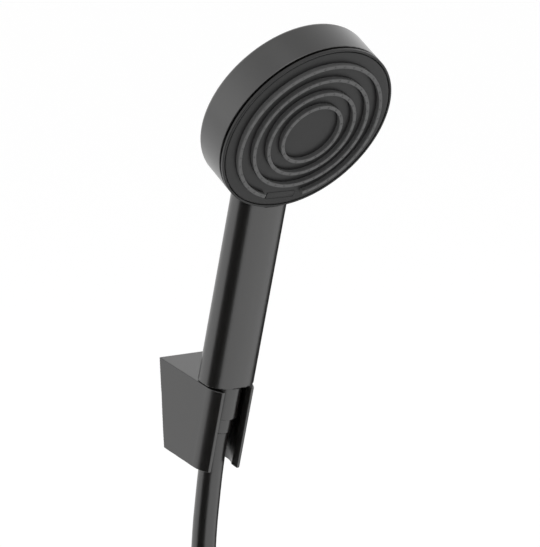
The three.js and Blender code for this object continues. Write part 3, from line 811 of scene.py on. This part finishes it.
def lower_end():
    """The ferrule, ribbed nut, nipple and washer at the hose's free end."""
    ferrule = [(FERRULE_BORE, -GAP), (COLLAR_RADIUS, -GAP), (COLLAR_RADIUS, -12.8),
               (FERRULE_BORE, -12.8)]
    verts, faces = turned(softened(ferrule, 0.6))
    made = [piece("lower_ferrule", verts, faces, LOWER, "hose", "matte_black",
                  ["hose_ferrule_lower"])]
    radius, shoulder, end = LOWER_NUT_RADIUS, -16.6, -34.6
    nut = [(FERRULE_BORE, -13.1), (8.4, -13.1), (radius, shoulder), (radius, end), (10.4, end),
           (10.4, -22.4), (FERRULE_BORE, -22.4)]
    outline = softened(nut, 0.6)
    start = 1 + max(i for i, (r, z) in enumerate(outline) if r > 8 and z > shoulder - 0.4)
    rib_rows = [(radius, shoulder - 0.3 - 0.6 * k) for k in range(28)]
    profile = outline[:start] + rib_rows + outline[start:]
    verts, faces = ribbed(profile, -32.8, -17.6, LOWER_NUT_RIBS, RIB_DEPTH)
    made.append(piece("lower_nut_shell", verts, faces, LOWER, "lower_nut", "matte_black",
                      ["hose_nut_lower"]))
    nipple = [(3.6, -24.6), (9.1, -24.6), (9.1, -22.8), (5.5, -22.8), (5.5, -0.6), (3.6, -0.6)]
    verts, faces = turned(softened(nipple, 0.3, 3), 96)
    made.append(piece("lower_nipple", verts, faces, LOWER, "hose", "brass",
                      ["hose_nipple_lower"]))
    washer = [(4.6, -26.9), (9.4, -26.9), (9.4, -24.9), (4.6, -24.9)]
    verts, faces = turned(softened(washer, 0.3, 3), 96)
    made.append(piece("lower_washer", verts, faces, LOWER, "hose", "seal_rubber",
                      ["hose_washer_lower"]))
    return made


# ---- pieces kept from the frame ------------------------------------------------------------
def finish_kept_nodes():
    """Gives each CAD node still shown the material of its slot."""
    slots = {m["node"]: m["material_slot"] for m in frame["record"]["subparts"]
             if "node" in m and "material_slot" in m}
    for name, node in frame["nodes"].items():
        if node.hide_render:
            continue
        node.data.materials.clear()
        node.data.materials.append(MATERIALS[slots[name]])
        node.data.shade_smooth()
        node.data.set_sharp_from_angle(angle=math.radians(30))


# ---- studio ----------------------------------------------------------------------------------
def stage_mesh(name, verts, faces, material):
    mesh = bpy.data.meshes.new(name)
    mesh.from_pydata(verts, [], faces)
    mesh.materials.append(material)
    made = bpy.data.objects.new(name, mesh)
    bpy.context.scene.collection.objects.link(made)
    return made


def plain(name, level, glow=0.0):
    material = bpy.data.materials.new(name)
    material.use_nodes = True
    shader = material.node_tree.nodes["Principled BSDF"]
    shader.inputs["Base Color"].default_value = (level, level, level, 1)
    shader.inputs["Roughness"].default_value = 1.0
    shader.inputs["Specular IOR Level"].default_value = 0.0
    shader.inputs["Emission Color"].default_value = (1, 1, 1, 1)
    shader.inputs["Emission Strength"].default_value = glow
    return material


def flag(name, azimuth, half_angle, inner, outer, low, high):
    """A dark card round the object, upright with a foot, that only reflections show."""
    verts, faces = [], []
    steps = 16
    for k in range(steps + 1):
        a = math.radians(azimuth - half_angle + 2 * half_angle * k / steps)
        x, y = math.sin(a), -math.cos(a)
        verts += [(x * inner, y * inner, low), (x * outer, y * outer, low),
                  (x * outer, y * outer, high)]
    for k in range(0, 3 * steps, 3):
        faces += [[k, k + 3, k + 4, k + 1], [k + 1, k + 4, k + 5, k + 2]]
    card = stage_mesh(name, verts, faces, plain(name, 0.01))
    card.visible_camera = False
    card.visible_diffuse = False
    card.visible_shadow = False


def sky(horizon, zenith):
    world = bpy.data.worlds.new("sky")
    bpy.context.scene.world = world
    world.use_nodes = True
    nodes, links = world.node_tree.nodes, world.node_tree.links
    direction = nodes.new("ShaderNodeTexCoord").outputs["Generated"]
    split = nodes.new("ShaderNodeSeparateXYZ")
    links.new(direction, split.inputs["Vector"])
    height = nodes.new("ShaderNodeMapRange")
    height.inputs["From Min"].default_value = 0.35
    height.inputs["From Max"].default_value = 1.0
    height.inputs["To Min"].default_value = horizon
    height.inputs["To Max"].default_value = zenith
    links.new(split.outputs["Z"], height.inputs["Value"])
    links.new(height.outputs["Result"], nodes["Background"].inputs["Strength"])
    nodes["Background"].inputs["Color"].default_value = (1, 1, 1, 1)


def softbox(name, azimuth, elevation, distance, size, power):
    data = bpy.data.lights.new(name, "AREA")
    data.shape = "DISK"
    data.size = size
    data.energy = power
    lamp = bpy.data.objects.new(name, data)
    bpy.context.scene.collection.objects.link(lamp)
    a, e = math.radians(azimuth), math.radians(elevation)
    out = Vector((math.sin(a) * math.cos(e), -math.cos(a) * math.cos(e), math.sin(e)))
    lamp.location = out * distance
    lamp.rotation_euler = out.to_track_quat("Z", "Y").to_euler()


def studio():
    """A white floor and sky, one soft lamp, and a dark card on either side."""
    floor_z, reach = cad_low.z - 0.012, 60.0
    card_foot = floor_z + 0.004
    corners = [(-reach, -reach, floor_z), (reach, -reach, floor_z), (reach, reach, floor_z),
               (-reach, reach, floor_z)]
    stage_mesh("floor", corners, [[0, 1, 2, 3]], plain("floor_white", 0.9, 0.16))
    flag("left_flag", azimuth=-69, half_angle=37, inner=0.18, outer=0.6, low=card_foot, high=0.1)
    flag("right_flag", azimuth=104, half_angle=20, inner=0.25, outer=0.6, low=card_foot, high=0.12)
    sky(horizon=1.2, zenith=0.66)
    softbox("front_softbox", azimuth=-40, elevation=62, distance=2.5, size=1.2, power=6)
    bpy.context.scene.view_settings.view_transform = "Standard"


housing()
face_plate()
for ring_number in range(len(RING_RADII)):
    nozzle_ring(ring_number)
label()
face_edge()
hose_end()
holder()
seat_pads()
tube, hose_exit = hose()
ends = lower_end()
straps = ties()
finish_kept_nodes()
studio()
